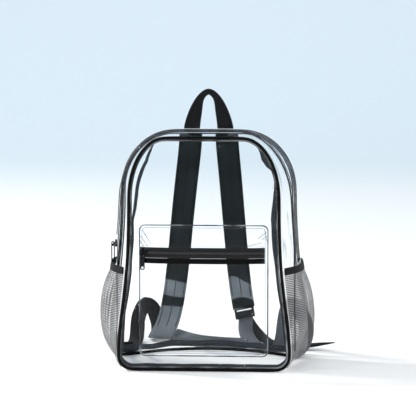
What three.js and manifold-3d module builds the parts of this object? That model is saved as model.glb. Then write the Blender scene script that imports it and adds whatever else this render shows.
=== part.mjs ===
import * as THREE from 'three';
import { mergeVertices } from 'three/addons/utils/BufferGeometryUtils.js';
import Module from 'manifold-3d';

// Clear backpack in millimetres: X across, +X at the right of someone facing its front,
// Y from the front (-Y) to the wearer's back (+Y), Z up from the floor it stands on.

// Driving dimensions of the bag
const bagHeight = 384;        // floor to the top of the front seam
const bagDepth = 140;         // front panel to back panel
const bagHalfWidth = 150;     // half the width at mid-height of the back
const film = 1;               // clear film wall
const gap = 0.3;              // clearance between neighbouring pieces
const pipingRadius = 3;       // round piping in the front and back seams
const footRadius = 25;        // rounded bottom corners
const backLift = 12;          // how far the back seam's middle lifts off the floor
const bindingWidth = 6;       // tape on the seam allowances
const bindingThick = 1;

// Main zip
const zipStart = 42;          // front edge of its tape, measured back from the front panel
const zipWidth = 28;
const zipTapeThick = 1.2;
const zipEnd = 166;           // height of both ends of the zip's arch
const coilRadius = 1.4;

// Front pocket
const pocketHalfWidth = 104;
const pocketFoot = 26;        // height of its lower edge
const pocketTop = 240;        // height of its upper edge
const pocketCorner = 9;
const pocketSwell = 13;       // how far it swells from the front panel
const pocketZipFoot = 187;    // lower edge of its zip tape
const pocketZipTape = 17;     // tape that shows between the films
const pocketLip = 9;          // black strip under the tape
const pocketZipRight = 99;    // right end of the tape, short of the pocket's edge

// Sliders and their pulls
const sliderLength = 12;
const sliderWidth = 9;
const sliderThick = 4;
const bailWire = 0.8;         // half the bail's thickness
const mainPullLength = 34;
const mainPullWidth = 6;
const pocketPullLength = 29;
const pocketPullWidth = 7.6;
const pullThick = 1.6;
const pullHole = 2.3;
const pullPlay = 0.5;         // play between a pull and its bail
const pullBar = 1.6;          // the bar of the pocket pull that lies under its bail
const pocketSliderX = -97.5;

// Side pockets
const meshThick = 1;
const meshSwell = 25.5;        // how far the mesh stands off the bag's side
const elasticFoot = 158;      // lower edge of the elastic
const elasticWidth = 12;
const elasticThick = 1.8;
const pullClear = 2;          // between the mouth of the left pocket and the hanging main pull
const sliderHeight = elasticFoot + elasticWidth + pullClear + mainPullLength - mainPullWidth / 2;

// Handle
const handleHalfSpan = 28;    // middle of the handle to the middle of a leg
const handleRise = 62;        // base to the middle of the grip
const handleWidth = 27;
const handleFold = 5;         // thickness where the webbing is folded double

// Straps
const strapWidth = 38;
const strapThick = 5;
const strapReach = 184;       // how far the straps' lower ends lie behind the bag
const webbingWidth = 25;
const webbingThick = 1.6;
const adjusterWidth = 34;
const adjusterHeight = 22;
const adjusterThick = 3.4;
const adjusterBar = 2.5;
const adjusterSlot = 4.4;
const anchorSpread = bagHalfWidth * 0.933;  // middle of the bag to where a lower webbing is sewn on
const loopRise = 70;          // height of the slack loops in the lower webbings
const loopSway = 52;
const tailSet = 8.6;           // from the left adjuster's edge to the middle of its free end

// Points on one half of a ring, a closed outline of the bag at one depth
const footSteps = 5;
const cornerSteps = 4;
const lowSideSteps = 5;
const highSideSteps = 4;
const shoulderSteps = 8;
const crownSteps = 2;

// The bag's rings from the front panel to the back panel. Depth is a share of bagDepth, the
// five half-widths are shares of bagHalfWidth at the heights in widthLevels, top, cornerTall
// and lift are shares of bagHeight and backLift, and cornerWide is a share of bagHalfWidth.
const widthLevels = [0, 0.14, 0.31, 0.48, 0.7];
const ringColumns = ['depth', 'foot', 'low', 'middle', 'high', 'shoulder', 'top', 'cornerWide', 'cornerTall', 'lift'];
const ringTable = [
  [0, 0.952, 0.940, 0.887, 0.843, 0.829, 1.000, 0.413, 0.260, 0],
  [zipStart / bagDepth, 0.960, 0.955, 0.950, 0.955, 0.925, 1.010, 0.590, 0.325, 0],
  [(zipStart + zipWidth) / bagDepth, 0.985, 0.985, 0.980, 0.985, 0.950, 1.010, 0.600, 0.300, 0],
  [0.72, 1.050, 1.060, 1.025, 1.000, 0.970, 1.006, 0.600, 0.277, 0],
  [1, 1.110, 1.113, 1.060, 1.006, 0.978, 1.000, 0.600, 0.262, 1],
];

const group = new THREE.Group();
group.name = 'clear_backpack';

// Materials
const finish = (color, roughness, metalness = 0, opacity = 1) => new THREE.MeshStandardMaterial({
  color, roughness, metalness, opacity, transparent: opacity < 1, side: THREE.DoubleSide,
});
const clearFilm = finish(0xeef4f6, 0.06, 0, 0.22);
const blackPiping = finish(0x0c0d0e, 0.22);
const blackTape = finish(0x121315, 0.6);
const blackWebbing = finish(0x15161a, 0.8);
const blackMesh = finish(0x2a2b2e, 0.75, 0, 0.55);
const blackElastic = finish(0x101113, 0.7);
const blackMetal = finish(0x08090a, 0.25, 0.8);
const blackPlastic = finish(0x111214, 0.35);

// Value of one column at a place between two knots, in a smooth curve through all of them
function smooth(knots, values, place) {
  const last = knots.length - 1;
  const at = Math.min(Math.max(place, knots[0]), knots[last]);
  let k = 0;
  while (k < last - 1 && at > knots[k + 1]) k += 1;
  const slope = (a, b) => (values[b] - values[a]) / (knots[b] - knots[a]);
  const tangent = (i) => {
    if (i === 0 || i === last) return 0;
    const left = slope(i - 1, i);
    const right = slope(i, i + 1);
    return left * right <= 0 ? 0 : 2 * left * right / (left + right);
  };
  const span = knots[k + 1] - knots[k];
  const t = (at - knots[k]) / span;
  const rise = values[k + 1] - values[k];
  const a = tangent(k) * span;
  const b = tangent(k + 1) * span;
  return values[k] + a * t + (3 * rise - 2 * a - b) * t * t + (a + b - 2 * rise) * t * t * t;
}

// A table's rows as objects with named columns
const named = (columns, rows) => rows.map((row) => Object.fromEntries(columns.map((c, i) => [c, row[i]])));
const column = (rows, name) => rows.map((row) => row[name]);
const rings = named(ringColumns, ringTable);

// The ring's sizes in millimetres at a depth behind the front panel
function ringAt(depth) {
  const share = depth / bagDepth;
  let k = 0;
  while (k < rings.length - 2 && share > rings[k + 1].depth) k += 1;
  const t = (share - rings[k].depth) / (rings[k + 1].depth - rings[k].depth);
  const value = (name) => rings[k][name] + (rings[k + 1][name] - rings[k][name]) * t;
  return {
    widths: ringColumns.slice(1, 6).map((name) => value(name) * bagHalfWidth),
    top: value('top') * bagHeight,
    cornerWide: value('cornerWide') * bagHalfWidth,
    cornerTall: value('cornerTall') * bagHeight,
    lift: value('lift') * backLift,
  };
}

// Half-width of the bag's side at a depth and a height, rounded under at the foot
function sideAt(depth, height) {
  const ring = ringAt(depth);
  const levels = widthLevels.map((level) => level * bagHeight);
  const drop = Math.max(footRadius - height, 0);
  const tuck = footRadius - Math.sqrt(Math.max(footRadius ** 2 - drop ** 2, 0));
  return smooth(levels, ring.widths, Math.max(height, footRadius)) - tuck;
}

// One ring as points [x, z], from the middle of the foot up the right side and down the left
function ringPoints(depth) {
  const ring = ringAt(depth);
  const floor = film / 2;
  const footEnd = sideAt(depth, footRadius) - footRadius;
  const half = [];
  for (let i = 0; i < footSteps; i += 1) {
    const x = footEnd * i / footSteps;
    half.push([x, floor + ring.lift * (1 - (x / footEnd) ** 2)]);
  }
  for (let i = 0; i < cornerSteps; i += 1) {
    const turn = Math.PI / 2 * i / cornerSteps;
    half.push([footEnd + footRadius * Math.sin(turn), floor + footRadius * (1 - Math.cos(turn))]);
  }
  const lowest = floor + footRadius;
  for (let i = 0; i < lowSideSteps; i += 1) {
    const z = lowest + (zipEnd - lowest) * i / lowSideSteps;
    half.push([sideAt(depth, z), z]);
  }
  const bend = ring.top - ring.cornerTall;
  for (let i = 0; i < highSideSteps; i += 1) {
    const z = zipEnd + (bend - zipEnd) * i / highSideSteps;
    half.push([sideAt(depth, z), z]);
  }
  const shoulder = sideAt(depth, bend) - ring.cornerWide;
  for (let i = 0; i < shoulderSteps; i += 1) {
    const turn = Math.PI / 2 * i / shoulderSteps;
    half.push([shoulder + ring.cornerWide * Math.cos(turn), bend + ring.cornerTall * Math.sin(turn)]);
  }
  for (let i = 0; i <= crownSteps; i += 1) {
    half.push([shoulder * (1 - i / crownSteps), ring.top]);
  }
  const left = half.slice(1, -1).reverse().map(([x, z]) => [-x, z]);
  return [...half, ...left];
}

// Where the zip's arch starts and ends among a ring's points, and where the foot's middle is
const archStart = footSteps + cornerSteps + lowSideSteps;
const halfCount = archStart + highSideSteps + shoulderSteps + crownSteps;
const ringCount = 2 * halfCount;
const archIndices = Array.from({ length: ringCount - 2 * archStart + 1 }, (_, i) => archStart + i);
const baseIndices = Array.from({ length: 2 * archStart + 1 }, (_, i) => (ringCount - archStart + i) % ringCount);

// A closed outline moved inwards by one distance
function inset(points, distance) {
  return points.map((point, i) => {
    const before = points[(i + points.length - 1) % points.length];
    const after = points[(i + 1) % points.length];
    const dx = after[0] - before[0];
    const dz = after[1] - before[1];
    const length = Math.hypot(dx, dz);
    return [point[0] - distance * dz / length, point[1] + distance * dx / length];
  });
}

const frontY = -bagDepth / 2;
const atDepth = (depth) => frontY + depth;
const inPlane = (y) => ([x, z]) => new THREE.Vector3(x, y, z);

// One closed body through sections with the same number of points
function skin(sections, loop = false) {
  const count = sections.length;
  const size = sections[0].length;
  const positions = sections.flat().flatMap((p) => [p.x, p.y, p.z]);
  const index = [];
  const quad = (a, b, c, d) => index.push(a, b, c, a, c, d);
  for (let i = 0; i < (loop ? count : count - 1); i += 1) {
    const here = i * size;
    const next = ((i + 1) % count) * size;
    for (let j = 0; j < size; j += 1) {
      const k = (j + 1) % size;
      quad(here + j, here + k, next + k, next + j);
    }
  }
  if (!loop) {
    const end = (count - 1) * size;
    for (let j = 0; j < size / 2 - 1; j += 1) {
      quad(j, size - 1 - j, size - 2 - j, j + 1);
      quad(end + j, end + j + 1, end + size - 2 - j, end + size - 1 - j);
    }
  }
  const geometry = new THREE.BufferGeometry();
  geometry.setAttribute('position', new THREE.Float32BufferAttribute(positions, 3));
  geometry.setIndex(index);
  return outward(geometry);
}

// Turns a closed body's faces out where its volume says that they point in
function outward(geometry) {
  const position = geometry.getAttribute('position');
  const index = geometry.getIndex();
  const [a, b, c] = [new THREE.Vector3(), new THREE.Vector3(), new THREE.Vector3()];
  let volume = 0;
  for (let i = 0; i < index.count; i += 3) {
    a.fromBufferAttribute(position, index.getX(i));
    b.fromBufferAttribute(position, index.getX(i + 1));
    c.fromBufferAttribute(position, index.getX(i + 2));
    volume += a.dot(b.cross(c));
  }
  if (volume < 0) {
    for (let i = 0; i < index.count; i += 3) {
      const second = index.getX(i + 1);
      index.setX(i + 1, index.getX(i + 2));
      index.setX(i + 2, second);
    }
  }
  geometry.computeVertexNormals();
  return geometry;
}

// A sheet of even thickness through rows of points
function sheet(rows, thickness, loop = false) {
  const count = rows.length;
  const size = rows[0].length;
  const row = (i) => rows[loop ? (i + count) % count : Math.min(Math.max(i, 0), count - 1)];
  const half = (i, j) => {
    const along = row(i + 1)[j].clone().sub(row(i - 1)[j]);
    const across = rows[i][Math.min(j + 1, size - 1)].clone().sub(rows[i][Math.max(j - 1, 0)]);
    return along.cross(across).setLength(thickness / 2);
  };
  return skin(rows.map((points, i) => [
    ...points.map((p, j) => p.clone().add(half(i, j))),
    ...points.map((p, j) => p.clone().sub(half(i, j))).reverse(),
  ]), loop);
}

// A round tube along a closed outline that lies in one plane of even depth
function ringTube(points, y, radius, sides = 8) {
  const sections = points.map((point, i) => {
    const inner = inset(points, radius)[i];
    const out = new THREE.Vector3(point[0] - inner[0], 0, point[1] - inner[1]);
    const back = new THREE.Vector3(0, radius, 0);
    const centre = new THREE.Vector3(point[0], y, point[1]);
    return Array.from({ length: sides }, (_, k) => {
      const turn = 2 * Math.PI * (k + 0.5) / sides;
      return centre.clone().addScaledVector(out, Math.cos(turn)).addScaledVector(back, Math.sin(turn));
    });
  });
  return skin(sections, true);
}

function piece(name, geometry, material, parent = group) {
  const mesh = new THREE.Mesh(geometry, material);
  mesh.name = name;
  parent.add(mesh);
  return mesh;
}

// A flat plate from an outline in the XZ plane, centred on y
function plate(outline, y, thickness) {
  const shape = new THREE.Shape(outline.map(([x, z]) => new THREE.Vector2(x, z)));
  const geometry = new THREE.ExtrudeGeometry(shape, { depth: thickness, bevelEnabled: false });
  geometry.rotateX(Math.PI / 2);
  geometry.translate(0, y + thickness / 2, 0);
  return geometry;
}

// Film shell: two flat panels, the strips either side of the zip, and the base
const pipingInset = pipingRadius - film / 2;
const panelInset = pipingInset + pipingRadius + gap;
const seamStep = Math.sqrt((pipingRadius + gap) ** 2 - (pipingRadius - film) ** 2);
const frontRing = ringPoints(0);
const backRing = ringPoints(bagDepth);
const backY = atDepth(bagDepth);

function filmPanels() {
  piece('front_panel', plate(inset(frontRing, panelInset), frontY, film), clearFilm);
  piece('back_panel', plate(inset(backRing, panelInset), backY, film), clearFilm);
}

// Rows of points on the shell, one for each index round the ring and one column for each depth
function shellRows(indices, depths, offset = 0) {
  const outlines = depths.map((depth) => inset(ringPoints(depth), -offset).map(inPlane(atDepth(depth))));
  return indices.map((index) => outlines.map((outline) => outline[index].clone()));
}

const middleDepth = rings[3].depth * bagDepth;
const zipBack = zipStart + zipWidth;
const shellBack = bagDepth - seamStep;

function filmGussets() {
  const frontStrip = shellRows(archIndices, [seamStep, zipStart / 2, zipStart - gap]);
  piece('zip_gusset_front', sheet(frontStrip, film), clearFilm);
  const rearStrip = shellRows(archIndices, [zipBack + gap, middleDepth, shellBack]);
  piece('zip_gusset_rear', sheet(rearStrip, film), clearFilm);
  const base = shellRows(baseIndices, [seamStep, zipStart, zipBack, middleDepth, shellBack]);
  for (const end of [base[0], base.at(-1)]) {
    for (const point of end) point.z -= gap;
  }
  piece('base_gusset', sheet(base, film), clearFilm);
}

function seamTrim() {
  piece('front_piping', ringTube(inset(frontRing, pipingInset), frontY, pipingRadius), blackPiping);
  piece('back_piping', ringTube(inset(backRing, pipingInset), backY, pipingRadius), blackPiping);
  const step = film / 2 + gap + bindingThick / 2;
  for (const [name, ring, y] of [
    ['front_seam_binding', frontRing, frontY + step],
    ['back_seam_binding', backRing, backY - step],
  ]) {
    const outer = inset(ring, panelInset).map(inPlane(y));
    const inner = inset(ring, panelInset + bindingWidth).map(inPlane(y));
    piece(name, sheet(outer.map((point, i) => [point, inner[i]]), bindingThick, true), blackTape);
  }
}

// Tape that carries the zip's line down each side, under the side pocket
function sideBindings() {
  const middle = zipStart + zipWidth / 2;
  const stand = film / 2 + gap + bindingThick / 2;
  const low = film / 2 + footRadius;
  for (const [name, side] of [['side_seam_binding_left', -1], ['side_seam_binding_right', 1]]) {
    const rows = Array.from({ length: lowSideSteps + 1 }, (_, i) => {
      const z = low + (zipEnd - 2 * gap - low) * i / lowSideSteps;
      return [-0.5, 0.5].map((edge) => {
        const depth = middle + edge * bindingWidth;
        return new THREE.Vector3(side * (sideAt(depth, z) + stand), atDepth(depth), z);
      });
    });
    piece(name, sheet(rows, bindingThick), blackTape);
  }
}

function mainZip() {
  const middle = zipStart + zipWidth / 2;
  piece('main_zip_tape', sheet(shellRows(archIndices, [zipStart, middle, zipBack]), zipTapeThick), blackTape);
  const stand = zipTapeThick / 2 + gap + coilRadius;
  const line = shellRows(archIndices, [middle], stand).flat();
  const below = line.filter((point) => point.x > 0 || point.z > sliderHeight + sliderLength);
  const sections = below.map((point, i) => {
    const along = below[Math.min(i + 1, below.length - 1)].clone().sub(below[Math.max(i - 1, 0)]).normalize();
    const back = new THREE.Vector3(0, 1, 0);
    const out = back.clone().cross(along).normalize();
    return Array.from({ length: 6 }, (_, k) => {
      const turn = Math.PI / 3 * k;
      return point.clone().addScaledVector(out, coilRadius * Math.cos(turn))
        .addScaledVector(back, coilRadius * Math.sin(turn));
    });
  });
  piece('main_zip_coil', skin(sections), blackPlastic);
}

// A rounded tab in the XY plane, its thickness along Z, with round and square holes down its middle
function tab({ width, foot, top, radius, thickness, rounds = [], squares = [] }) {
  const shape = new THREE.Shape();
  const half = width / 2;
  shape.moveTo(-half, top - radius);
  shape.absarc(-half + radius, foot + radius, radius, Math.PI, 1.5 * Math.PI);
  shape.absarc(half - radius, foot + radius, radius, 1.5 * Math.PI, 2 * Math.PI);
  shape.absarc(half - radius, top - radius, radius, 0, 0.5 * Math.PI);
  shape.absarc(-half + radius, top - radius, radius, 0.5 * Math.PI, Math.PI);
  for (const { y, r } of rounds) {
    const hole = new THREE.Path();
    hole.absarc(0, y, r, 0, 2 * Math.PI, true);
    shape.holes.push(hole);
  }
  for (const { halfWidth, low, high } of squares) {
    const hole = new THREE.Path();
    hole.setFromPoints([[-halfWidth, low], [-halfWidth, high], [halfWidth, high], [halfWidth, low]]
      .map(([x, y]) => new THREE.Vector2(x, y)));
    hole.closePath();
    shape.holes.push(hole);
  }
  const geometry = new THREE.ExtrudeGeometry(shape, { depth: thickness, bevelEnabled: false, curveSegments: 4 });
  geometry.translate(0, 0, -thickness / 2);
  return geometry;
}

// Two closed bodies joined into one
const wasm = await Module();
wasm.setup();
function joined(first, second) {
  const solid = (geometry) => {
    const bare = geometry.clone();
    for (const name of ['normal', 'uv']) bare.deleteAttribute(name);
    const merged = mergeVertices(bare, 1e-4);
    return new wasm.Manifold(new wasm.Mesh({
      numProp: 3,
      vertProperties: Float32Array.from(merged.getAttribute('position').array),
      triVerts: Uint32Array.from(merged.getIndex().array),
    }));
  };
  const mesh = solid(first).add(solid(second)).getMesh();
  const geometry = new THREE.BufferGeometry();
  geometry.setAttribute('position', new THREE.BufferAttribute(mesh.vertProperties, 3));
  geometry.setIndex(new THREE.BufferAttribute(mesh.triVerts, 1));
  geometry.computeVertexNormals();
  return geometry;
}

// A slider in its own frame, Z out of the tape: a body as long as its zip runs, and a bail that
// arches over it along X or along Y
function slider({ lengthAlong, thick, bailAlong, bailReach, bailHeight }) {
  const long = lengthAlong === 'x' ? sliderLength : sliderWidth;
  const tall = lengthAlong === 'x' ? sliderWidth : sliderLength;
  const body = tab({ width: long, foot: -tall / 2, top: tall / 2, radius: sliderWidth * 0.3, thickness: thick });
  body.translate(0, 0, thick / 2);
  const steps = 8;
  const root = thick - bailWire;
  const sideways = bailAlong === 'x' ? new THREE.Vector3(0, 1, 0) : new THREE.Vector3(1, 0, 0);
  const sections = Array.from({ length: steps + 1 }, (_, i) => {
    const turn = Math.PI * i / steps;
    const run = bailReach * Math.cos(turn);
    const centre = new THREE.Vector3(bailAlong === 'x' ? run : 0, bailAlong === 'x' ? 0 : run,
      root + (bailHeight - root) * Math.sin(turn));
    const out = new THREE.Vector3(bailAlong === 'x' ? Math.cos(turn) : 0, bailAlong === 'x' ? 0 : Math.cos(turn),
      Math.sin(turn));
    return [[-1, -1], [1, -1], [1, 1], [-1, 1]].map(([across, rise]) => centre.clone()
      .addScaledVector(sideways, across * bailWire).addScaledVector(out, rise * bailWire));
  });
  return joined(body, skin(sections));
}

// Places a piece that is modelled about its own origin, by its X and Y directions
function place(mesh, origin, xAxis, yAxis) {
  const zAxis = xAxis.clone().cross(yAxis);
  mesh.position.copy(origin);
  mesh.quaternion.setFromRotationMatrix(new THREE.Matrix4().makeBasis(xAxis, yAxis, zAxis));
  return mesh;
}

const backwards = new THREE.Vector3(0, 1, 0);
const up = new THREE.Vector3(0, 0, 1);

// The main slider sits on the left side. Its bail arches across it, and the pull's round eye
// hangs on the bail, so the pull faces the front.
function mainSlider() {
  const thick = sliderThick * 0.8;
  const eye = mainPullWidth / 2;
  const bailHeight = thick + gap + eye;
  const [near, far] = [zipStart, zipBack].map((depth) => (
    new THREE.Vector3(-sideAt(depth, sliderHeight), atDepth(depth), sliderHeight)));
  const forwards = near.clone().sub(far).normalize();
  const out = forwards.clone().cross(up);
  const origin = near.lerp(far, 0.5).addScaledVector(out, zipTapeThick / 2 + 2 * gap);
  const body = slider({ lengthAlong: 'y', thick, bailAlong: 'x', bailReach: sliderWidth / 3, bailHeight });
  place(piece('main_zip_slider', body, blackMetal), origin, forwards, up);
  const foot = eye - mainPullLength;
  const pull = tab({
    width: mainPullWidth,
    foot,
    top: eye,
    radius: eye * 0.99,
    thickness: pullThick,
    rounds: [{ y: 0, r: bailWire * Math.SQRT2 + pullPlay }],
    squares: [{ halfWidth: eye * 0.4, low: foot + eye * 1.2, high: -eye * 1.6 }],
  });
  const hinge = origin.clone().addScaledVector(out, bailHeight);
  place(piece('main_zip_pull', pull, blackMetal), hinge, out.clone().negate(), up);
}

// Front pocket. One function gives its swelling face, so that its film, tape and lip line up.
const pocketLevels = [0, 0.12, 0.35, 0.6, 0.76, 0.86, 1];
const pocketSwells = [0, 0.5, 0.95, 1, 0.8, 0.55, 0];
const pocketSeat = film / 2 + gap + film / 2;
function pocketPoint(x, z, stand = 0) {
  const level = (z - pocketFoot) / (pocketTop - pocketFoot);
  const spread = Math.min(Math.abs(x) / pocketHalfWidth, 1);
  const swell = pocketSwell * smooth(pocketLevels, pocketSwells, level) * (1 - spread ** 3);
  return new THREE.Vector3(x, frontY - pocketSeat - swell - stand, z);
}

// The pocket's half-width at a height, with its four corners rounded
function pocketEdge(z) {
  const drop = Math.max(pocketFoot + pocketCorner - z, z - (pocketTop - pocketCorner), 0);
  return pocketHalfWidth - pocketCorner + Math.sqrt(pocketCorner ** 2 - Math.min(drop, pocketCorner) ** 2);
}

// Rows of points across the pocket's face, for each height from its left to its right
function pocketRows(heights, left, right, columns = 10) {
  return heights.map((z) => Array.from({ length: columns + 1 }, (_, i) => {
    const share = i / columns;
    return pocketPoint(-left(z) + (left(z) + right(z)) * share, z);
  }));
}

function frontPocket() {
  const lipFoot = pocketZipFoot - pocketLip;
  const tapeTop = pocketZipFoot + pocketZipTape;
  const zipRight = () => pocketZipRight;
  const tuck = pocketCorner * 0.3;
  const lower = [pocketFoot, pocketFoot + tuck, pocketFoot + pocketCorner];
  for (let i = 1; i <= 5; i += 1) {
    lower.push(pocketFoot + pocketCorner + (lipFoot - gap - pocketFoot - pocketCorner) * i / 5);
  }
  const upper = [tapeTop + gap, (tapeTop + pocketTop) / 2, pocketTop - pocketCorner, pocketTop - tuck, pocketTop];
  piece('pocket_panel', sheet(pocketRows(lower, pocketEdge, pocketEdge), film), clearFilm);
  piece('pocket_top_strip', sheet(pocketRows(upper, pocketEdge, pocketEdge), film), clearFilm);
  const lip = pocketRows([lipFoot, pocketZipFoot - gap], pocketEdge, zipRight);
  piece('pocket_zip_lip', sheet(lip, zipTapeThick), blackTape);
  const tape = pocketRows([pocketZipFoot, tapeTop], pocketEdge, zipRight);
  piece('pocket_zip_tape', sheet(tape, zipTapeThick), blackTape);
  const middle = (pocketZipFoot + tapeTop) / 2;
  const stand = zipTapeThick / 2 + gap + coilRadius;
  const first = pocketSliderX + sliderLength / 2 + gap;
  const steps = 12;
  const sections = Array.from({ length: steps + 1 }, (_, i) => {
    const centre = pocketPoint(first + (pocketZipRight - first) * i / steps, middle, stand);
    return Array.from({ length: 6 }, (_, k) => centre.clone()
      .addScaledVector(backwards, coilRadius * Math.cos(Math.PI / 3 * k))
      .addScaledVector(up, coilRadius * Math.sin(Math.PI / 3 * k)));
  });
  piece('pocket_zip_coil', skin(sections), blackPlastic);
}

// The pocket's slider stands at the left end of its zip. Its bail arches up and down over it,
// and the bar at the top of the pull lies under the bail, so the pull hangs flat to the front.
function pocketSlider() {
  const middle = pocketZipFoot + pocketZipTape / 2;
  const slope = 2;
  const near = pocketPoint(pocketSliderX + slope, middle);
  const far = pocketPoint(pocketSliderX - slope, middle);
  const along = near.sub(far).normalize();
  const out = along.clone().cross(up).normalize();
  const origin = pocketPoint(pocketSliderX, middle).addScaledVector(out, zipTapeThick / 2 + gap);
  const seat = sliderThick + pullPlay + pullThick / 2;
  const bailHeight = sliderThick + pullThick + 2 * pullPlay + bailWire;
  const reach = sliderWidth * 0.4;
  const body = slider({ lengthAlong: 'x', thick: sliderThick, bailAlong: 'y', bailReach: reach, bailHeight });
  place(piece('pocket_zip_slider', body, blackMetal), origin, along, up);
  const half = pocketPullWidth / 2;
  const bar = pullBar / 2;
  const foot = bar - pocketPullLength;
  const pull = tab({
    width: pocketPullWidth,
    foot,
    top: bar,
    radius: half * 0.98,
    thickness: pullThick,
    rounds: [{ y: foot + half, r: pullHole }],
    squares: [{ halfWidth: half * 0.5, low: -(reach + bailWire + 2), high: -bar }],
  });
  place(piece('pocket_zip_pull', pull, blackMetal), origin.clone().addScaledVector(out, seat), along, up);
}

// Side pockets. Each is a panel of mesh from seam to seam that swells off the bag's side, with
// elastic round its mouth. Levels are shares of the mouth's height, swells of meshSwell.
const mouth = elasticFoot + elasticWidth;
const meshLevels = [0.035, 0.12, 0.22, 0.39, 0.54, 0.68, 0.82, 0.93, 1];
const meshSwells = [0, 0.2, 0.6, 0.9, 1, 0.95, 0.72, 0.35, 0.27];
function meshPoint(side, share, z, thickness) {
  const edge = seamStep + meshThick + gap;
  const depth = edge + (bagDepth - 2 * edge) * share;
  const swell = meshSwell * smooth(meshLevels, meshSwells, z / mouth) * Math.sin(Math.PI * share) ** 0.7;
  const stand = film / 2 + 2 * gap + thickness / 2;
  return new THREE.Vector3(side * (sideAt(depth, z) + stand + swell), atDepth(depth), z);
}

function sidePockets() {
  const columns = 8;
  const foot = meshLevels[0] * mouth;
  const heights = [0, 0.05, 0.11, 0.2, 0.33, 0.46, 0.6, 0.73, 0.87, 1]
    .map((share) => foot + (elasticFoot - gap - foot) * share);
  for (const [name, side] of [['left', -1], ['right', 1]]) {
    const row = (z, thickness) => Array.from({ length: columns + 1 },
      (_, i) => meshPoint(side, i / columns, z, thickness));
    piece(`mesh_pocket_${name}`, sheet(heights.map((z) => row(z, meshThick)), meshThick), blackMesh);
    const band = [elasticFoot, mouth].map((z) => row(z, elasticThick));
    piece(`pocket_elastic_${name}`, sheet(band, elasticThick), blackElastic);
  }
}

// Handle: webbing in a loop, folded double at the grip. A row for each bend from the base of a
// leg to the middle of the grip: out and up are shares of its half-span and rise, wide is a
// share of its width, and fold is a share of its doubled thickness.
const handleTable = named(['out', 'up', 'wide', 'fold'], [
  [1.00, 0.00, 1.00, 0.40],
  [0.93, 0.19, 0.93, 0.40],
  [0.82, 0.39, 0.84, 0.45],
  [0.70, 0.58, 0.71, 0.60],
  [0.56, 0.76, 0.53, 0.80],
  [0.32, 0.92, 0.40, 1.00],
  [0.00, 1.00, 0.38, 1.00],
]);
function handle() {
  const left = handleTable.slice(0, -1).reverse().map((row) => ({ ...row, out: -row.out }));
  const rows = [...handleTable, ...left];
  const base = ringAt(bagDepth).top + film / 2 + gap;
  const route = new THREE.CatmullRomCurve3(rows.map((row) => new THREE.Vector3(
    row.out * handleHalfSpan, backY, base + row.up * handleRise)));
  const knots = rows.map((_, i) => i);
  const steps = 24;
  const sections = Array.from({ length: steps + 1 }, (_, i) => {
    const t = i / steps;
    const place_ = t * (rows.length - 1);
    const centre = route.getPoint(t);
    const along = i === 0 || i === steps ? up.clone().multiplyScalar(i === 0 ? 1 : -1) : route.getTangent(t);
    const sideways = along.cross(backwards).normalize();
    const wide = smooth(knots, column(rows, 'wide'), place_) * handleWidth / 2;
    const thick = smooth(knots, column(rows, 'fold'), place_) * handleFold / 2;
    return [[-1, -1], [1, -1], [1, 1], [-1, 1]].map(([a, b]) => centre.clone()
      .addScaledVector(sideways, a * wide).addScaledVector(backwards, b * thick));
  });
  piece('handle', skin(sections), blackWebbing);
}

// A strap through rows of { point, side }, where side is the direction of its width. Its
// section is a list of [across, through] shares of its half-width and thickness.
const flatSection = [[-1, -0.5], [1, -0.5], [1, 0.5], [-1, 0.5]];
const paddedSection = [[-1, -0.25], [-0.75, -0.5], [0.75, -0.5], [1, -0.25], [1, 0.25], [0.75, 0.5], [-0.75, 0.5], [-1, 0.25]];
function strap(rows, width, thick, section, steps) {
  const route = new THREE.CatmullRomCurve3(rows.map((row) => row.point));
  const sections = Array.from({ length: steps + 1 }, (_, i) => {
    const t = i / steps;
    const at = t * (rows.length - 1);
    const k = Math.min(Math.floor(at), rows.length - 2);
    const along = route.getTangent(t);
    const side = rows[k].side.clone().lerp(rows[k + 1].side, at - k);
    side.addScaledVector(along, -side.dot(along)).normalize();
    const face = side.clone().cross(along);
    const centre = route.getPoint(t);
    return section.map(([a, b]) => centre.clone()
      .addScaledVector(side, a * width / 2).addScaledVector(face, b * thick));
  });
  const last = route.getTangent(1);
  const side = rows.at(-1).side.clone();
  side.addScaledVector(last, -side.dot(last)).normalize();
  return { geometry: skin(sections), end: rows.at(-1).point.clone(), along: last, side };
}

// Shoulder straps, from the back seam down to their adjusters behind the bag. Side, back and up
// are shares of bagHalfWidth, strapReach and bagHeight, and tilt is the width's slope in degrees.
const strapColumns = ['side', 'back', 'up', 'tilt'];
const strapTables = {
  left: named(strapColumns, [
    [-0.200, 0.000, 0.980, 0],
    [-0.205, 0.012, 0.930, 2],
    [-0.255, 0.100, 0.780, 4],
    [-0.320, 0.280, 0.583, 5],
    [-0.370, 0.450, 0.420, 6],
    [-0.425, 0.600, 0.270, 9],
    [-0.480, 0.700, 0.155, 15],
    [-0.550, 0.770, 0.070, 20],
    [-0.612, 0.815, 0.032, 8],
    [-0.634, 0.850, 0.020, 2],
    [-0.640, 0.885, 0.018, 0],
  ]),
  right: named(strapColumns, [
    [0.200, 0.000, 0.980, 0],
    [0.205, 0.012, 0.930, 2],
    [0.235, 0.100, 0.780, 4],
    [0.265, 0.280, 0.583, 5],
    [0.290, 0.450, 0.420, 6],
    [0.318, 0.620, 0.270, 10],
    [0.350, 0.750, 0.165, 22],
  ]),
};

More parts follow.
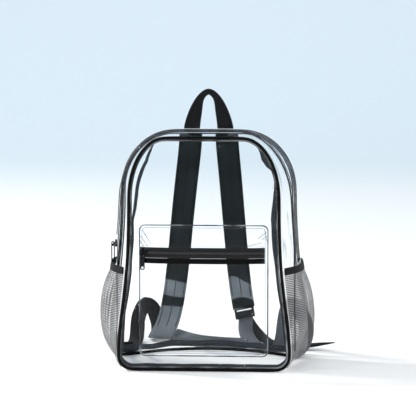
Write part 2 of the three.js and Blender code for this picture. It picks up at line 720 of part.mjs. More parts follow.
// Lower webbings, from where they are sewn on the back panel to the adjusters. Along is a share
// of the way to the adjuster, sway and rise are shares of loopSway and loopRise, and sideX and
// sideZ are the direction of the webbing's width.
const webbingColumns = ['along', 'sway', 'rise', 'sideX', 'sideZ'];
const webbingTables = {
  left: named(webbingColumns, [
    [0.000, 0.00, 0.34, 1, 0],
    [0.010, 0.00, 0.22, 1, 0],
    [0.060, 0.02, 0.08, 1, 0],
    [0.150, 0.06, 0.04, 1, 0],
    [0.640, 0.40, 0.04, 1, 0],
    [0.790, 0.50, 0.10, 1, 0],
    [0.840, 0.53, 0.28, 1, 0],
    [0.870, 0.51, 0.62, 0.97, 0.25],
    [0.910, 0.34, 0.90, 0, 1],
    [0.960, 0.15, 0.80, -0.9, 0.4],
    [1.000, 0.08, 0.56, -1, 0],
    [1.040, 0.04, 0.32, -1, 0],
  ]),
  right: named(webbingColumns, [
    [0.000, 0.00, 0.34, 1, 0],
    [0.010, 0.03, 0.22, 1, 0],
    [0.060, 0.18, 0.12, 1, 0],
    [0.150, 0.55, 0.22, 1, 0],
    [0.200, 0.78, 0.60, 1, 0.2],
    [0.220, 0.66, 0.95, 0.6, 0.8],
    [0.240, 0.44, 1.20, -0.1, 1],
    [0.260, 0.26, 1.12, -0.9, 0.5],
    [0.285, 0.18, 0.72, -1, 0],
    [0.310, 0.16, 0.35, -1, 0],
    [0.370, 0.10, 0.06, -1, 0],
    [0.540, -0.12, 0.045, -1, 0],
    [0.780, -0.12, 0.10, -1, 0],
    [0.960, -0.05, 0.28, -1, 0],
  ]),
};

// The webbings' free ends on the floor, from their adjusters out. Out, back and rise are shares
// of bagHalfWidth, strapReach and loopRise, and the last columns are the width's direction.
const tailColumns = ['out', 'back', 'rise', 'sideX', 'sideY', 'sideZ'];
const tailTables = {
  left: named(tailColumns, [
    [-0.350, 0.800, 0.14, 0.5, 0.65, 0.55],
    [-0.168, 0.630, 0.13, 0.35, 0.75, 0.6],
    [0.070, 0.520, 0.13, 0.1, 0.8, 0.6],
    [0.406, 0.480, 0.12, 0, 0.8, 0.6],
  ]),
  right: named(tailColumns, [
    [0.441, 0.900, 0.30, -0.85, -0.4, -0.3],
    [0.602, 0.810, 0.06, -0.7, -0.7, 0],
    [0.770, 0.600, 0.05, -0.6, -0.8, 0],
    [0.966, 0.445, 0.06, -0.35, -0.93, -0.1],
    [1.162, 0.390, 0.09, 0, -0.95, -0.3],
    [1.400, 0.375, 0.12, 0, -0.88, -0.47],
  ]),
};

function straps() {
  const panelFace = backY + film / 2 + gap;
  for (const [name, side] of [['left', -1], ['right', 1]]) {
    const rows = strapTables[name].map((row) => {
      const tilt = THREE.MathUtils.degToRad(row.tilt);
      return {
        point: new THREE.Vector3(row.side * bagHalfWidth,
          panelFace + strapThick / 2 + row.back * strapReach, row.up * bagHeight),
        side: new THREE.Vector3(Math.cos(tilt), 0, side * Math.sin(tilt)),
      };
    });
    const padded = strap(rows, strapWidth, strapThick, paddedSection, 16);
    piece(`shoulder_strap_${name}`, padded.geometry, blackWebbing);

    const half = adjusterHeight / 2;
    const slot = (middle) => ({
      halfWidth: webbingWidth / 2 + gap,
      low: middle - adjusterSlot / 2,
      high: middle + adjusterSlot / 2,
    });
    const slotAt = half - adjusterBar - adjusterSlot / 2;
    const frame = tab({
      width: adjusterWidth,
      foot: -half,
      top: half,
      radius: adjusterBar * 0.7,
      thickness: adjusterThick,
      squares: [slot(slotAt), slot(-slotAt)],
    });
    const centre = padded.end.clone().addScaledVector(padded.along, half + gap);
    place(piece(`adjuster_${name}`, frame, blackPlastic), centre, padded.side, padded.along.clone().negate());

    const exit = centre.clone().addScaledVector(padded.along, half + 2 * gap);
    const anchor = new THREE.Vector3(side * anchorSpread, panelFace + webbingThick / 2, 0);
    const lower = webbingTables[name].map((row) => ({
      point: new THREE.Vector3(
        anchor.x + (exit.x - anchor.x) * row.along + side * row.sway * loopSway,
        anchor.y + (exit.y - anchor.y) * row.along,
        webbingThick / 2 + row.rise * loopRise,
      ),
      side: new THREE.Vector3(side * row.sideX, 0, row.sideZ),
    }));
    const last = padded.side.clone().multiplyScalar(-side);
    lower.push({ point: exit.clone().addScaledVector(padded.along, adjusterHeight / 4), side: last });
    lower.push({ point: exit, side: last });
    const webbing = strap(lower, webbingWidth, webbingThick, flatSection, 3 * lower.length);
    piece(`lower_webbing_${name}`, webbing.geometry, blackWebbing);

    const tail = tailTables[name].map((row) => ({
      point: new THREE.Vector3(row.out * bagHalfWidth, backY + row.back * strapReach,
        webbingThick / 2 + row.rise * loopRise),
      side: new THREE.Vector3(row.sideX, row.sideY, row.sideZ),
    }));
    const face = padded.side.clone().cross(padded.along);
    if (side > 0) {
      const first = centre.clone().addScaledVector(face, adjusterThick / 2 + gap + webbingThick / 2);
      tail.unshift({ point: first.clone().addScaledVector(padded.along, adjusterHeight * 0.7), side: last });
      tail.unshift({ point: first, side: last });
    } else {
      const first = centre.clone().addScaledVector(padded.side, adjusterWidth / 2 + tailSet)
        .addScaledVector(face, adjusterThick * 1.5);
      tail.unshift({ point: first, side: new THREE.Vector3(0.2, 0.85, 0.5) });
    }
    piece(`strap_tail_${name}`, strap(tail, webbingWidth, webbingThick, flatSection, 14).geometry, blackWebbing);
  }
}

filmPanels();
filmGussets();
seamTrim();
sideBindings();
mainZip();
mainSlider();
frontPocket();
pocketSlider();
sidePockets();
handle();
straps();

export default group;
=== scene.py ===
import math

import bmesh
import bpy
from mathutils import Matrix, Vector, noise
from mathutils.bvhtree import BVHTree
from mathutils.kdtree import KDTree


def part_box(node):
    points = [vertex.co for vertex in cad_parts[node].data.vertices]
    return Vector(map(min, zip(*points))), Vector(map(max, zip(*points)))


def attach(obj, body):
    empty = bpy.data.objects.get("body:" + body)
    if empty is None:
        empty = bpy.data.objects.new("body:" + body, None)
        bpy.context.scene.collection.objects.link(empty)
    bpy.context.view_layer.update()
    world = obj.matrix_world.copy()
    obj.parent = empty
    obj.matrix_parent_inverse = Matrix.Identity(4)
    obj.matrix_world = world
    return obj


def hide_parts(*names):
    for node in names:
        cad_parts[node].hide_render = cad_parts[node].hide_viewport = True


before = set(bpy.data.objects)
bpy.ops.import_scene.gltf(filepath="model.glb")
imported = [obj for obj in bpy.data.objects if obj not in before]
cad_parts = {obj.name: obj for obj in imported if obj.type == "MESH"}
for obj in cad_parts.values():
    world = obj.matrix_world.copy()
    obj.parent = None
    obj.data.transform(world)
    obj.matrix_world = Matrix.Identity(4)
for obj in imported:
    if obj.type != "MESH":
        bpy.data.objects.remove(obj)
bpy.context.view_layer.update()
collection = bpy.context.scene.collection

# Camera. It stands 4.5 m in front of the bag, a little to its right and a little above it,
# and looks at a point between the pocket and the handle.
mm = 0.001
azimuth = math.radians(3.4)
rise = math.radians(7.5)
stand_off = 4.5
bag_front = -0.070
toward = Vector((math.sin(azimuth) * math.cos(rise), -math.cos(azimuth) * math.cos(rise), math.sin(rise)))
camera = bpy.data.objects.new("camera", bpy.data.cameras.new("camera"))
camera.location = Vector((0, bag_front, 0.190)) + toward * stand_off
look_at = Vector((0.0069, bag_front, 0.268))
camera.rotation_euler = (look_at - camera.location).to_track_quat("-Z", "Y").to_euler()
camera.data.sensor_width = 36
camera.data.lens = 240.4
collection.objects.link(camera)
bpy.context.scene.camera = camera
bpy.context.scene.view_settings.view_transform = "Standard"
bpy.context.scene.cycles.transparent_max_bounces = 48


# Floor and backdrop. One white sheet runs out under the bag and curves up far behind it. Its
# colour turns from white under the bag to a pale blue in the distance.
class Nodes:
    """The nodes of one material, built in order."""

    def __init__(self, name):
        self.material = bpy.data.materials.new(name)
        self.material.use_nodes = True
        self.tree = self.material.node_tree
        self.tree.nodes.clear()
        self.output = self.tree.nodes.new("ShaderNodeOutputMaterial")

    def add(self, kind, settings=None, **inputs):
        node = self.tree.nodes.new("ShaderNode" + kind)
        for key, value in (settings or {}).items():
            setattr(node, key, value)
        for key, value in inputs.items():
            self.feed(node, key.replace("_", " "), value)
        return node

    def feed(self, node, name, value):
        socket = node.inputs[int(name)] if name.isdigit() else node.inputs[name]
        if isinstance(value, bpy.types.NodeSocket):
            self.tree.links.new(value, socket)
        elif isinstance(value, bpy.types.Node):
            self.tree.links.new(value.outputs[0], socket)
        else:
            socket.default_value = value

    def math(self, operation, first, second=0.0, third=0.0):
        node = self.add("Math", {"operation": operation})
        for socket, value in zip("012", (first, second, third)):
            self.feed(node, socket, value)
        return node

    def finish(self, shader):
        self.tree.links.new(shader.outputs[0], self.output.inputs["Surface"])
        return self.material


def ramp(nodes, value, stops):
    """A colour ramp over a value, from (position, colour) stops."""
    node = nodes.add("ValToRGB")
    nodes.feed(node, "Fac", value)
    elements = node.color_ramp.elements
    while len(elements) < len(stops):
        elements.new(0.5)
    for element, (position, colour) in zip(elements, stops):
        element.position = position
        element.color = (*colour, 1)
    return node


def grey(value):
    return (value, value, value)


def join_piece(mesh, name, material):
    """A finished mesh as an object at the origin."""
    for polygon in mesh.polygons:
        polygon.use_smooth = True
    mesh.materials.clear()
    mesh.materials.append(material)
    piece = bpy.data.objects.new(name, mesh)
    collection.objects.link(piece)
    return piece


def mesh_from(shape, name):
    """A bmesh as a mesh."""
    mesh = bpy.data.meshes.new(name)
    shape.to_mesh(mesh)
    shape.free()
    return mesh


nodes = Nodes("studio_sheet")
place = nodes.add("TexCoord")
split = nodes.add("SeparateXYZ", Vector=place.outputs["Object"])
distance = nodes.math("MULTIPLY_ADD", split.outputs["Z"], 1.4, split.outputs["Y"])
share = nodes.add("MapRange", {"interpolation_type": "SMOOTHERSTEP"}, Value=distance.outputs[0],
                  From_Min=0.1, From_Max=4.6)
tint = ramp(nodes, share.outputs["Result"], [(0, grey(0.87)), (0.3, (0.815, 0.848, 0.865)),
                                             (0.63, (0.80, 0.84, 0.86)), (1, (0.715, 0.82, 0.895))])
sheet_shader = nodes.add("BsdfPrincipled", Base_Color=tint, Roughness=0.9)
nodes.feed(sheet_shader, "Specular IOR Level", 0.1)
studio_sheet = nodes.finish(sheet_shader)

half_width = 7
bend_start = 3.4
bend_radius = 1.6
shape = bmesh.new()
start = [shape.verts.new((-half_width, y, 0)) for y in (-half_width, bend_start)]
shape.edges.new(start)
pivot = Vector((0, bend_start, bend_radius))
swung = bmesh.ops.spin(shape, geom=[start[1]], cent=pivot, axis=(1, 0, 0), angle=math.radians(88), steps=12)
top = [v for v in swung["geom_last"] if isinstance(v, bmesh.types.BMVert)][0]
bmesh.ops.extrude_vert_indiv(shape, verts=[top])
shape.verts.ensure_lookup_table()
shape.verts[-1].co += Vector((0, 0.2, 6))
widened = bmesh.ops.extrude_edge_only(shape, edges=shape.edges[:])
far_side = [v for v in widened["geom"] if isinstance(v, bmesh.types.BMVert)]
bmesh.ops.translate(shape, verts=far_side, vec=(2 * half_width, 0, 0))
bmesh.ops.recalc_face_normals(shape, faces=shape.faces[:])
floor = join_piece(mesh_from(shape, "floor"), "floor", studio_sheet)

# Lights. The room is bright overhead and darker near the floor. A small lamp high at the left
# throws the bag's shadow to the right, and thin strip lamps draw bright lines on the gloss.
world = bpy.data.worlds.new("studio")
world.use_nodes = True
sky = world.node_tree
bearing = sky.nodes.new("ShaderNodeTexCoord")
parts = sky.nodes.new("ShaderNodeSeparateXYZ")
height = sky.nodes.new("ShaderNodeValToRGB")
sky.links.new(bearing.outputs["Generated"], parts.inputs["Vector"])
sky.links.new(parts.outputs["Z"], height.inputs["Fac"])
height.color_ramp.elements[0].position = 0.02
height.color_ramp.elements[0].color = (0.74, 0.77, 0.80, 1)
height.color_ramp.elements[1].position = 0.6
height.color_ramp.elements[1].color = (0.97, 0.985, 1.0, 1)
sky.links.new(height.outputs["Color"], sky.nodes["Background"].inputs["Color"])
sky.nodes["Background"].inputs["Strength"].default_value = 0.87
bpy.context.scene.world = world


def lamp(name, place, aim, size, power, colour=(1, 1, 1)):
    """A soft lamp at a place, turned to what it lights."""
    data = bpy.data.lights.new(name, "AREA")
    data.shape = "RECTANGLE"
    data.size, data.size_y = size
    data.energy = power
    data.color = colour
    light = bpy.data.objects.new(name, data)
    light.location = place
    light.rotation_euler = (Vector(aim) - Vector(place)).to_track_quat("-Z", "Y").to_euler()
    collection.objects.link(light)


lamp("key", (-2.6, 0.85, 2.2), (0, 0, 0.1), (0.42, 0.42), 95, (1, 0.985, 0.96))
lamp("front_strip", (0.2, -3.2, 2.6), (0, 0, 0.2), (2.4, 0.07), 16)
lamp("strip_left", (-2.4, -1.7, 0.9), (0, 0, 0.2), (0.07, 2.2), 18)
lamp("strip_right", (2.2, -1.9, 0.9), (0, 0, 0.2), (0.07, 2.2), 18)
lamp("fill", (1.0, -3.4, 2.0), (0, 0, 0.2), (1.6, 1.6), 9)

# Clear film. The shell is sewn from flat sheets of thick clear vinyl. It is glossy, a little
# wavy between its seams, and grey where it is seen along its cut edges.


def film_material(name, body, edge, wave=1.0, painted_reflection_streaks=None, shine=1.0, haze=0.0):
    """Clear vinyl: see-through face on, tinted towards its edges, with soft waves in its gloss.

    streaks is (stretch, dark, share): grey lines stretched along one axis, painted reflections multiplied
    into the see-through colour.
    shine makes the gloss stronger or weaker, and haze is the share of light that it scatters."""
    nodes = Nodes(name)
    coordinates = nodes.add("TexCoord")
    broad = nodes.add("TexNoise", Vector=coordinates.outputs["Object"], Scale=11, Detail=1.5)
    fine = nodes.add("TexNoise", Vector=coordinates.outputs["Object"], Scale=38, Detail=1)
    mixed = nodes.math("MULTIPLY_ADD", fine.outputs["Fac"], 0.2, broad.outputs["Fac"])
    bump = nodes.add("Bump", Strength=0.6 * wave, Distance=0.008, Height=mixed.outputs[0])
    facing = nodes.add("LayerWeight", Blend=0.5, Normal=bump.outputs["Normal"])
    tinted = ramp(nodes, facing.outputs["Facing"], [(0, body), (0.7, body), (1, edge)])
    colour = tinted
    # Painted reflection: grey lines multiplied into the see-through colour, standing for dark parts mirrored
    # in the film.
    if painted_reflection_streaks:
        stretch, dark, share = painted_reflection_streaks
        drawn = nodes.add("Mapping", Vector=coordinates.outputs["Object"], Scale=stretch)
        lines = nodes.add("TexNoise", Vector=drawn, Scale=1, Detail=1.5, Distortion=0.3)
        streak_reflection_mask = ramp(nodes, lines.outputs["Fac"], [(share - 0.02, grey(1)), (share + 0.015, dark),
                                                  (share + 0.05, grey(1))])
        colour = nodes.add("MixRGB", {"blend_type": "MULTIPLY"}, Fac=1, Color1=tinted, Color2=streak_reflection_mask)
    clear = nodes.add("BsdfTransparent", Color=colour)
    if haze:
        white = nodes.add("BsdfDiffuse", Color=colour)
        hazy = nodes.add("MixShader", Fac=haze)
        nodes.feed(hazy, "1", clear)
        nodes.feed(hazy, "2", white)
        clear = hazy
    gleam = nodes.add("BsdfAnisotropic", Roughness=0.02, Normal=bump.outputs["Normal"])
    nodes.feed(gleam, "Color", (1, 1, 1, 1))
    strength = ramp(nodes, facing.outputs["Facing"], [(0, grey(0.0015 * shine)), (0.5, grey(0.006 * shine)),
                                                      (0.8, grey(0.03 * shine)), (1, grey(0.3 * shine))])
    both = nodes.add("MixShader", Fac=strength)
    nodes.feed(both, "1", clear)
    nodes.feed(both, "2", gleam)
    return nodes.finish(both)


film_clear = film_material("film_clear", (0.994, 0.997, 0.999), (0.70, 0.75, 0.79))
# The side and base film carry grey streaks of painted reflection.
film_side = film_material("film_side", (0.997, 0.998, 0.999), (0.99, 0.993, 0.996), shine=0.5,
                          painted_reflection_streaks=((5, 95, 5), (0.62, 0.66, 0.69), 0.60))
film_base = film_material("film_base", (0.997, 0.998, 0.999), (0.99, 0.993, 0.996), wave=1.6, shine=0.25,
                          haze=0.4, painted_reflection_streaks=((8, 12, 30), (0.78, 0.82, 0.85), 0.62))

# Film edge: the pocket's hem edge, its outline fold and the corner creases, drawn in opaque dark grey with
# random lighter mottling. The dark grey is painted shade for the dark lines that clear film shows where it
# folds.
nodes = Nodes("film_edge")
coordinates = nodes.add("TexCoord")
cloud = nodes.add("TexNoise", Vector=coordinates.outputs["Object"], Scale=45, Detail=1.5)
fold_painted_shade = ramp(nodes, cloud.outputs["Fac"], [(0.4, (0.03, 0.035, 0.04)), (0.7, (0.30, 0.33, 0.35))])
edge_solid = nodes.add("BsdfPrincipled", Base_Color=fold_painted_shade, Roughness=0.25)
edge_clear = nodes.add("BsdfTransparent", Color=(0.8, 0.83, 0.85, 1))
edge_both = nodes.add("MixShader", Fac=0.88)
nodes.feed(edge_both, "1", edge_clear)
nodes.feed(edge_both, "2", edge_solid)
film_edge = nodes.finish(edge_both)


def merged_copy(node):
    """A CAD node's shape with its triangles joined up again."""
    shape = bmesh.new()
    shape.from_mesh(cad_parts[node].data)
    bmesh.ops.remove_doubles(shape, verts=shape.verts[:], dist=2e-6)
    return shape


def dress(piece, body="bag", node=None):
    """Ties a visual piece to its body, and hides the CAD node that it stands for."""
    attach(piece, body)
    if node:
        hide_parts(node)
    return piece


def soften(piece, levels):
    """Rounds a piece off with subdivision."""
    modifier = piece.modifiers.new("round", "SUBSURF")
    modifier.levels = modifier.render_levels = levels


def rounded(node, material, levels, name, keep=1.0, move=None):
    """A smooth piece on the shape of a CAD node. keep is how sharp its corners stay.

    move(point) is how far a point of it goes from the CAD node's place."""
    shape = merged_copy(node)
    bmesh.ops.join_triangles(shape, faces=shape.faces[:], angle_face_threshold=0.7,
                             angle_shape_threshold=3.0)
    crease = shape.edges.layers.float.new("crease_edge")
    for edge in shape.edges:
        if edge.calc_face_angle(0) > math.radians(62):
            edge[crease] = keep
    if move:
        for vert in shape.verts:
            vert.co += move(vert.co)
    piece = join_piece(mesh_from(shape, name), name, material)
    soften(piece, levels)
    return dress(piece, node=node)


def thicken(piece, thickness, rim=None):
    """Gives a sheet its wall. rim is another material for its cut edges."""
    wall = piece.modifiers.new("wall", "SOLIDIFY")
    wall.thickness = thickness
    wall.offset = 0
    if rim:
        piece.data.materials.append(rim)
        wall.material_offset_rim = 1


def crowned_panel(node, name, material, swell, waves):
    """A flat panel of a CAD node as a film that swells a little towards its middle."""
    shape = merged_copy(node)
    side = 1 if swell > 0 else -1
    bmesh.ops.dissolve_limit(shape, angle_limit=0.02, verts=shape.verts[:], edges=shape.edges[:])
    outside = [f for f in shape.faces if f.normal.y * side > 0.9]
    bmesh.ops.delete(shape, geom=[f for f in shape.faces if f not in outside], context="FACES")
    # Rings from the seam inwards: how wide each one is, and its share of the swell
    for width, lift in ((0.006, 0.25), (0.014, 0.3), (0.022, 0.25), (0.028, 0.15), (0.030, 0.05)):
        face = max(shape.faces, key=lambda f: f.calc_area())
        bmesh.ops.inset_region(shape, faces=[face], thickness=width, use_even_offset=True)
        bmesh.ops.translate(shape, verts=face.verts[:], vec=(0, swell * lift, 0))
    face = max(shape.faces, key=lambda f: f.calc_area())
    bmesh.ops.triangulate(shape, faces=[face])
    bmesh.ops.subdivide_edges(shape, edges=shape.edges[:], cuts=1, use_grid_fill=True)
    low_y = min(v.co.y for v in shape.verts)
    high_y = max(v.co.y for v in shape.verts)
    for vert in shape.verts:
        depth = (vert.co.y - low_y) / max(high_y - low_y, 1e-6)
        inner = depth if side > 0 else 1 - depth
        vert.co.y += waves * min(inner * 2, 1) * noise.noise(vert.co * 14)
    piece = join_piece(mesh_from(shape, name), name, material)
    soften(piece, 1)
    thicken(piece, 0.0007)
    return dress(piece, node=node)


crowned_panel("front_panel", "front_film", film_clear, -0.004, 0.0012)
crowned_panel("back_panel", "back_film", film_clear, 0.0025, 0.0012)

# The film laps over both borders of the zip's tape and is sewn down, so only its middle shows
covered = 0.78
border = 1.2 * mm
tape_shape = merged_copy("main_zip_tape")
tape_low, tape_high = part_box("main_zip_tape")
tape_middle = (tape_low[1] + tape_high[1]) / 2
tape_half = (tape_high[1] - tape_low[1]) / 2
middles = [v.co.copy() for v in tape_shape.verts if abs(v.co.y - tape_middle) < 2 * mm]
tape_shape.free()
lap = KDTree(len(middles))
for i, spot in enumerate(middles):
    lap.insert(spot, i)
lap.balance()


def over_the_tape(point):
    """How far a point at the tape's border moves towards the tape's middle."""
    if abs(abs(point.y - tape_middle) - tape_half) > border:
        return Vector()
    return (lap.find(point)[0] - point) * covered


rounded("zip_gusset_front", film_side, 2, "zip_gusset_front_film", move=over_the_tape)
rounded("zip_gusset_rear", film_side, 2, "zip_gusset_rear_film", move=over_the_tape)
rounded("base_gusset", film_base, 2, "base_film")

# Piping. A cord covered in glossy black vinyl is sewn into the front seam and the back seam,
# with a narrow black flange inside the front cord, mottled grey as a painted highlight. Its ends meet under
# the front.
nodes = Nodes("piping_vinyl")
coordinates = nodes.add("TexCoord")
ripple = nodes.add("TexNoise", Vector=coordinates.outputs["Object"], Scale=60, Detail=2)
bump = nodes.add("Bump", Strength=0.25, Distance=0.002, Height=ripple.outputs["Fac"])
tone = ramp(nodes, ripple.outputs["Fac"], [(0.3, grey(0.0015)), (0.7, grey(0.004))])
shader = nodes.add("BsdfPrincipled", Base_Color=tone, Roughness=0.14, IOR=1.16, Normal=bump.outputs["Normal"])
piping_vinyl = nodes.finish(shader)
rounded("front_piping", piping_vinyl, 2, "front_piping_cord")
rounded("back_piping", piping_vinyl, 2, "back_piping_cord")


def seam_line(node):
    """The outline of a flat panel as a smooth closed line, from the middle of its foot."""
    shape = merged_copy(node)
    bmesh.ops.delete(shape, geom=[f for f in shape.faces if f.normal.y > -0.9], context="FACES")
    rim = [v for v in shape.verts if v.is_boundary]
    here = min(rim, key=lambda v: abs(v.co.x) + v.co.z)
    walk = [here]
    step = max((e for e in here.link_edges if e.is_boundary), key=lambda e: e.other_vert(here).co.x)
    while len(walk) < len(rim):
        here = step.other_vert(here)
        walk.append(here)
        step = next(e for e in here.link_edges if e.is_boundary and e is not step)
    knots = [v.co.copy() for v in walk]
    shape.free()
    line = []
    for i, b in enumerate(knots):
        a, c, d = knots[i - 1], knots[(i + 1) % len(knots)], knots[(i + 2) % len(knots)]
        for k in range(6):
            t = k / 6
            line.append(b + ((c - a) * t + (2 * a - 5 * b + 4 * c - d) * t ** 2
                             + (3 * b - a - 3 * c + d) * t ** 3) * 0.5)
    return line


def mapped_sheet(columns, rows, where, closed=False):
    """A sheet whose points go where where(s, t) says."""
    shape = bmesh.new()
    shape.loops.layers.uv.new("UVMap")
    bmesh.ops.create_grid(shape, x_segments=columns, y_segments=rows, size=1, calc_uvs=True)
    for vert in shape.verts:
        vert.co = where((vert.co.x + 1) / 2, (vert.co.y + 1) / 2)
    if closed:
        bmesh.ops.remove_doubles(shape, verts=shape.verts[:], dist=1e-6)
    return shape


def seam_strip(name, line, edges, material, y, thickness):
    """A strip that follows a seam. edges(point) gives how far inside the seam its two edges run."""
    count = len(line)
    inward = []
    for i in range(count):
        run = line[(i + 1) % count] - line[i - 1]
        inward.append(Vector((-run.z, 0, run.x)).normalized())

    def where(s, t):
        i = round(s * count) % count
        near, far = edges(line[i])
        spot = line[i] + inward[i] * (near + (far - near) * t)
        spot.y = y
        return spot

    piece = join_piece(mesh_from(mapped_sheet(count, 2, where, True), name), name, material)
    thicken(piece, thickness)
    return piece


front_line = seam_line("front_panel")
back_line = seam_line("back_panel")
front_y = front_line[0].y
back_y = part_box("back_panel")[0][1]

# The flange's grey mottling is painted highlight: the light line that the glossy seam catches beside the
# cord.
nodes = Nodes("flange_vinyl_painted_highlight")
coordinates = nodes.add("TexCoord")
cloud = nodes.add("TexNoise", Vector=coordinates.outputs["Object"], Scale=22, Detail=2)
flange_painted_highlight = ramp(nodes, cloud.outputs["Fac"], [(0.4, (0.01, 0.011, 0.012)), (0.68, (0.20, 0.21, 0.22))])
flange_vinyl_painted_highlight = nodes.finish(nodes.add("BsdfPrincipled", Base_Color=flange_painted_highlight, Roughness=0.25))
flange = seam_strip("front_piping_flange", front_line, lambda p: (-0.6 * mm, 2.2 * mm), flange_vinyl_painted_highlight,
                    front_y - 0.5 * mm, 0.6 * mm)
dress(flange)

join_radius = 3.5 * mm
shape = bmesh.new()
bmesh.ops.create_cone(shape, cap_ends=True, segments=20, radius1=join_radius, radius2=join_radius,
                      depth=2 * mm)
bmesh.ops.rotate(shape, verts=shape.verts[:], matrix=Matrix.Rotation(math.pi / 2, 3, "Y"))
piping_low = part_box("front_piping")[0]
bmesh.ops.translate(shape, verts=shape.verts[:], vec=(0, front_y, piping_low[2] + 3.3 * mm))
dress(join_piece(mesh_from(shape, "piping_join"), "piping_join", piping_vinyl))

# Seam tape. The raw seam edges inside are bound with black woven tape. It stands off the tight
# curves at the shoulders and lies close along the straight sides, and the foot's tape is wide.


def woven(name, colour, pitch, roughness=0.85, depth=0.0004, sheen=0.03, gleam=0.15):
    """Black narrow fabric: a fine plain weave with soft sheen."""
    nodes = Nodes(name)
    coordinates = nodes.add("TexCoord")
    heights = []
    for axis in ("X", "Z"):
        wave = nodes.add("TexWave", {"wave_type": "BANDS", "bands_direction": axis},
                         Vector=coordinates.outputs["Object"], Scale=0.5 / pitch, Distortion=0.4)
        heights.append(wave.outputs["Fac"])
    weave = nodes.math("MULTIPLY", heights[0], heights[1])
    mottle = nodes.add("TexNoise", Vector=coordinates.outputs["Object"], Scale=35, Detail=3)
    both = nodes.math("MULTIPLY_ADD", mottle.outputs["Fac"], 0.55, weave.outputs[0])
    dark = tuple(c * 0.55 for c in colour)
    light = tuple(c * 1.5 for c in colour)
    tint = ramp(nodes, both.outputs[0], [(0.1, dark), (0.9, light)])
    bump = nodes.add("Bump", Strength=0.6, Distance=depth, Height=weave.outputs[0])
    shader = nodes.add("BsdfPrincipled", Base_Color=tint, Roughness=roughness, Normal=bump.outputs["Normal"])
    nodes.feed(shader, "Sheen Weight", sheen)
    nodes.feed(shader, "Sheen Roughness", 0.4)
    nodes.feed(shader, "Specular IOR Level", gleam)
    return nodes.finish(shader)


seam_tape = woven("seam_tape", (0.018, 0.025, 0.034), 0.0012, gleam=0.4)


def between(rows, place):
    """The values of a table at a place, from the rows on either side of it."""
    for low, high in zip(rows, rows[1:]):
        if place <= high[0]:
            break
    share = min(max((place - low[0]) / (high[0] - low[0]), 0), 1)
    return [a + (b - a) * share for a, b in zip(low[1:], high[1:])]


# Height, then how far inside the seam the tape's near and far edge run, in millimetres
front_tape_left = [(0, 0, 6.5), (12, 0, 6), (24, 0.5, 3), (45, 1, 6), (70, 0.5, 5), (95, 0, 3), (134, 0, 5),
                   (175, 1, 4.5), (215, 0.5, 6), (247, 1, 5), (265, 4, 9), (288, 6.5, 12), (325, 8, 14),
                   (349, 9, 14.5), (366, 4, 8), (374, 0.2, 1), (380, 0.2, 0.8)]
front_tape_right = [(0, 0, 6.5), (12, 0, 6), (24, 0.5, 3), (60, 0.5, 5.5), (100, 0.5, 4), (134, 0.5, 6),
                    (170, 1, 6), (205, 1.5, 9), (250, 1.5, 10), (290, 1, 6), (312, 0.2, 2.5), (330, 0.5, 3),
                    (338, 1, 8), (352, 1, 10), (362, 1, 5), (370, 0.2, 1), (380, 0.2, 0.8)]


def front_tape_edges(point):
    rows = front_tape_left if point.x < 0 else front_tape_right
    near, far = between(rows, point.z / mm)
    wave = 0.7 * noise.noise(point * 40)
    return (near * mm, (far + wave) * mm)


def back_tape_edges(point):
    if point.z > 40 * mm:
        return (0, 2.4 * mm)
    wave = 2.4 * noise.noise(Vector((point.x * 26, 3, 0)))
    return ((1.5 + wave) * mm, (11.5 + 1.6 * wave) * mm)


dress(seam_strip("front_seam_tape", front_line, front_tape_edges, seam_tape, front_y + 1.9 * mm, 0.9 * mm),
      node="front_seam_binding")
dress(seam_strip("back_seam_tape", back_line, back_tape_edges, seam_tape, back_y - 1.0 * mm, 0.9 * mm),
      node="back_seam_binding")
for side in ("left", "right"):
    rounded("side_seam_binding_" + side, seam_tape, 1, "side_seam_tape_" + side)

# Main zip. Black woven zip tape goes over the top from pocket to pocket with a row of nylon
# teeth down its middle. Its slider stops on the left side with the pull hanging down.
zip_tape = woven("zip_tape", (0.004, 0.0042, 0.005), 0.0009, roughness=0.7, gleam=0.3)
zip_teeth = woven("zip_teeth", (0.045, 0.047, 0.05), 0.0015, roughness=0.3, depth=0.0008, sheen=0, gleam=0.5)
rounded("main_zip_tape", zip_tape, 2, "main_zip_tape_woven", move=over_the_tape)


def spine(node, reach):
    """The middle line of a thin tube, from its end nearest the left foot."""
    shape = merged_copy(node)
    spots = [v.co.copy() for v in shape.verts]
    shape.free()
    middles = []
    while spots:
        near = [p for p in spots if (p - spots[0]).length < reach]
        middles.append(sum(near, Vector()) / len(near))
        spots = [p for p in spots if (p - spots[0]).length >= reach]
    line = [min(middles, key=lambda p: p.x)]
    rest = [p for p in middles if p is not line[0]]
    while rest:
        following = min(rest, key=lambda p: (p - line[-1]).length)
        rest.remove(following)
        line.append(following)
    return line


def spaced(line, pitch):
    """Even steps along a line, as (point, direction)."""
    spots = []
    carried = pitch / 2
    for a, b in zip(line, line[1:]):
        length = (b - a).length
        while carried < length:
            spots.append((a.lerp(b, carried / length), (b - a).normalized()))
            carried += pitch
        carried -= length
    return spots


def beads(name, spots, size, material, node=None):
    """Small rounded bodies. spots are (point, along, up) and size is half their length, width and height."""
    shape = bmesh.new()
    for point, along, up in spots:
        across = up.cross(along).normalized()
        over = along.cross(across)
        turn = Matrix((along * size[0], across * size[1], over * size[2])).transposed().to_4x4()
        bmesh.ops.create_icosphere(shape, subdivisions=1, radius=1, matrix=Matrix.Translation(point) @ turn)
    return dress(join_piece(mesh_from(shape, name), name, material), node=node)


def teeth(name, line, out, pitch, node):
    """Two rows of coil teeth that mesh along a line. out(point) is the way the zip faces."""
    spots = []
    for i, (point, along) in enumerate(spaced(line, pitch)):
        up = out(point)
        across = up.cross(along).normalized()
        spots.append((point + across * (0.9 if i % 2 else -0.9) * mm, across, up))
    return beads(name, spots, (1.5 * mm, pitch * 0.62, 1.15 * mm), zip_teeth, node)


arch_start = 0.28


